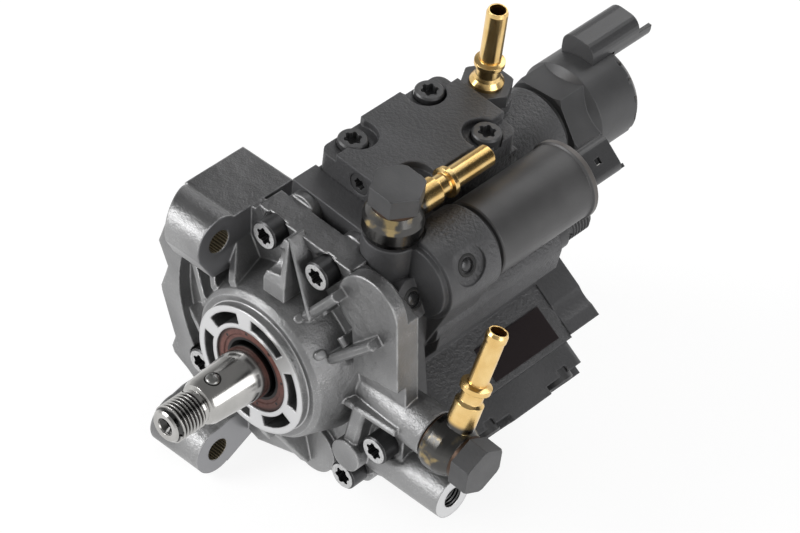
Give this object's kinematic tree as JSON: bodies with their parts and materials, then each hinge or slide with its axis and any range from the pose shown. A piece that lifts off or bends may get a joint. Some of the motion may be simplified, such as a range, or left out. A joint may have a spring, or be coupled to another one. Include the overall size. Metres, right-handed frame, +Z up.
{
  "type": "high-pressure fuel pump",
  "caption": "Radial-piston high-pressure fuel pump with a cast front flange, drive shaft, metering valve, pressure valve, banjo hose tubes and return nipple.",
  "frame": {"origin": "centre of the front spigot face, on the shaft axis", "axes": "+Z up, +Y from the drive end to the rear along the shaft axis, +X to the right seen from the drive end, so the shaft points to -Y"},
  "size_m": [0.1549, 0.23, 0.1593],
  "materials": {
    "alloy": "as cast, machined on its pads",
    "coated_steel": "dark coated",
    "cast_head": "dark coated casting",
    "bright_steel": "ground",
    "spring_steel": "drawn wire",
    "bearing_bronze": "satin",
    "black_screws": "black oxide",
    "plain_screws": "zinc plated",
    "seal_rubber": "matte",
    "black_rubber": "matte",
    "valve_metal": "smooth, dark coated",
    "connector_plastic": "moulded",
    "copper_wire": "lacquered winding",
    "dark_fitting": "dark plated",
    "gilt_metal": "gold passivated",
    "copper_washer": "satin",
    "plug_steel": "polished dome",
    "label_film": "bare printed film without text"
  },
  "bodies": {
    "pump": {"front_flange": "alloy", "pump_body": "coated_steel", "rear_cover": "coated_steel", "shaft_seal": "seal_rubber", "front_bush": "bearing_bronze", "rear_bush": "bearing_bronze", "head_top": "cast_head", "head_right": "cast_head", "head_left": "cast_head", "spring_top_piston": "spring_steel", "spring_right_piston": "spring_steel", "spring_left_piston": "spring_steel", "valve_top": "bright_steel", "valve_right": "bright_steel", "valve_left": "bright_steel", "head_screws_top": "black_screws", "head_screws_right": "black_screws", "head_screws_left": "black_screws", "head_plug": "black_screws", "flange_screws": "plain_screws", "flange_ring": "black_rubber", "cover_screws": "black_screws", "pump_stator": "bright_steel", "vcv_body": "valve_metal", "vcv_connector": "connector_plastic", "vcv_coil": "copper_wire", "vcv_spring": "spring_steel", "vcv_seal": "black_rubber", "pcv_body": "valve_metal", "pcv_connector": "connector_plastic", "pcv_coil": "copper_wire", "pcv_spring": "spring_steel", "pcv_seat": "bright_steel", "outlet_fitting": "dark_fitting", "banjo_bolt_upper": "dark_fitting", "banjo_eye_upper": "gilt_metal", "banjo_washers_upper": "copper_washer", "banjo_bolt_lower": "dark_fitting", "banjo_eye_lower": "gilt_metal", "banjo_washers_lower": "copper_washer", "return_nipple": "gilt_metal", "return_nut": "dark_fitting", "passage_plugs": "plug_steel", "label_plate": "label_film"},
    "shaft": {"drive_shaft": "bright_steel", "key_pin": "bright_steel", "pump_rotor": "bright_steel", "pump_vanes": "bright_steel"},
    "ring": {"cam_ring": "bright_steel", "ring_bush": "bearing_bronze"},
    "top_piston": {"piston_top": "bright_steel"},
    "right_piston": {"piston_right": "bright_steel"},
    "left_piston": {"piston_left": "bright_steel"},
    "spool": {"vcv_spool": "bright_steel"},
    "armature": {"pcv_armature": "bright_steel"}
  },
  "joints": [
    {"name": "shaft_spin", "type": "hinge", "parent": "pump", "child": "shaft", "pos_m": [0, 0, 0], "axis": [0, 1, 0], "continuous": true},
    {"name": "ring_orbit", "type": "hinge", "parent": "shaft", "child": "ring", "pos_m": [-0.00103, 0.0744, -0.00282], "axis": [0, 1, 0], "continuous": true},
    {"name": "top_piston_slide", "type": "slide", "parent": "pump", "child": "top_piston", "axis": [0.0872, 0, 0.9962], "range_m": [-0.0022, 0], "deforming": ["spring_top_piston"]},
    {"name": "right_piston_slide", "type": "slide", "parent": "pump", "child": "right_piston", "axis": [0.8192, 0, -0.5736], "range_m": [-0.0022, 0], "deforming": ["spring_right_piston"]},
    {"name": "left_piston_slide", "type": "slide", "parent": "pump", "child": "left_piston", "axis": [-0.9063, 0, -0.4226], "range_m": [-0.00085, 0], "deforming": ["spring_left_piston"]},
    {"name": "spool_slide", "type": "slide", "parent": "pump", "child": "spool", "axis": [0, 1, 0], "range_m": [0, 0.0025], "stiffness_N_per_m": 600, "deforming": ["vcv_spring"]},
    {"name": "armature_slide", "type": "slide", "parent": "pump", "child": "armature", "axis": [0, 1, 0], "range_m": [0, 0.0008], "stiffness_N_per_m": 1500, "deforming": ["pcv_spring"]}
  ],
  "couplings": [
    {"joint": "ring_orbit", "follows": "shaft_spin", "ratio": -1}
  ]
}
